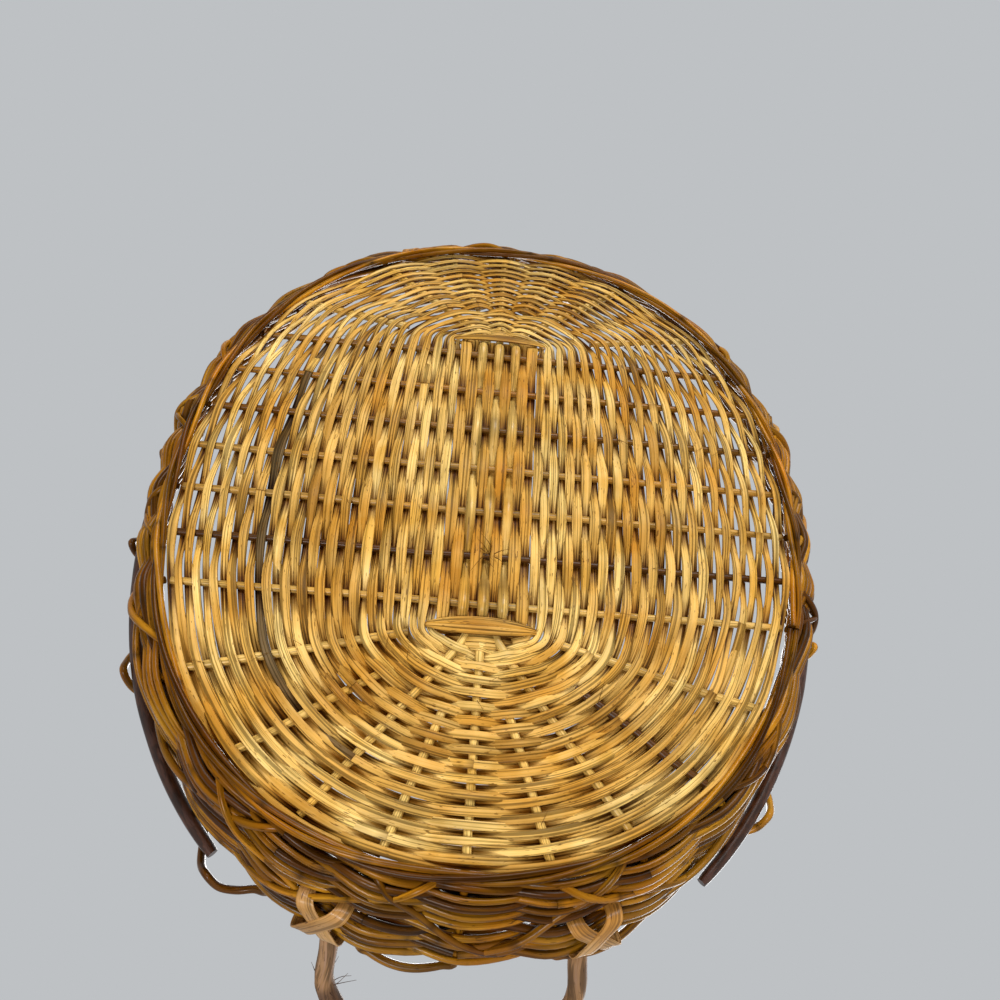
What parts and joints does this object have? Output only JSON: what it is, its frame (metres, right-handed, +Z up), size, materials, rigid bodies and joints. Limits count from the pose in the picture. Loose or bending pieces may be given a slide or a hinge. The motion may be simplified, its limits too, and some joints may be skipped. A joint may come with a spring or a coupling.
{
  "type": "wicker serving tray",
  "caption": "Oval woven serving tray with a flat stick-and-strand base, a low flared wall of round rods with a looped scalloped edge, bark-on rim rails and lashed branch handles.",
  "frame": {"origin": "middle of the surface that the foot rod stands on", "axes": "+X along the tray from one handle to the other, +Y across it, +Z up out of the tray"},
  "size_m": [0.5171, 0.3973, 0.0994],
  "materials": {
    "round_core": "dry satin, peeled stick",
    "flat_core": "dry satin, split cane",
    "skin_rod": "glossy, skin left on",
    "dark_bark": "glossy dark bark",
    "branch_bark": "rough bark, peeled legs",
    "peel_strip": "satin peel strip"
  },
  "bodies": {
    "root": {"cross_stick_1": "round_core", "cross_stick_2": "round_core", "cross_stick_3": "round_core", "cross_stick_4": "round_core", "cross_stick_5": "round_core", "cross_stick_6": "round_core", "cross_stick_7": "round_core", "long_stick_left": "round_core", "long_stick_middle": "round_core", "long_stick_right": "round_core", "near_spoke_1": "round_core", "near_spoke_2": "round_core", "near_spoke_3": "round_core", "near_spoke_4": "round_core", "near_spoke_5": "round_core", "near_spoke_6": "round_core", "far_spoke_1": "round_core", "far_spoke_2": "round_core", "far_spoke_3": "round_core", "far_spoke_4": "round_core", "near_strap": "flat_core", "far_strap": "flat_core", "centre_strand_left": "flat_core", "centre_strand_right": "flat_core", "bundle_strand_left": "flat_core", "bundle_strand_right": "flat_core", "base_weaver_a": "flat_core", "base_weaver_b": "flat_core", "foot_rod": "skin_rod", "edge_rod": "skin_rod", "wall_rod_1": "skin_rod", "wall_rod_2": "skin_rod", "wall_rod_3": "skin_rod", "wall_rod_4": "skin_rod", "wall_rod_5": "skin_rod", "wall_rod_6": "skin_rod", "wall_rod_7": "skin_rod", "side_stake_1": "skin_rod", "side_stake_2": "skin_rod", "side_stake_3": "skin_rod", "side_stake_4": "skin_rod", "side_stake_5": "skin_rod", "side_stake_6": "skin_rod", "side_stake_7": "skin_rod", "side_stake_8": "skin_rod", "side_stake_9": "skin_rod", "side_stake_10": "skin_rod", "side_stake_11": "skin_rod", "side_stake_12": "skin_rod", "side_stake_13": "skin_rod", "side_stake_14": "skin_rod", "side_stake_15": "skin_rod", "rim_rail_left": "dark_bark", "rim_rail_right": "dark_bark", "near_handle": "branch_bark", "far_handle": "branch_bark", "near_lashing_1": "peel_strip", "near_lashing_2": "peel_strip", "far_lashing_1": "peel_strip", "far_lashing_2": "peel_strip"}
  },
  "joints": []
}
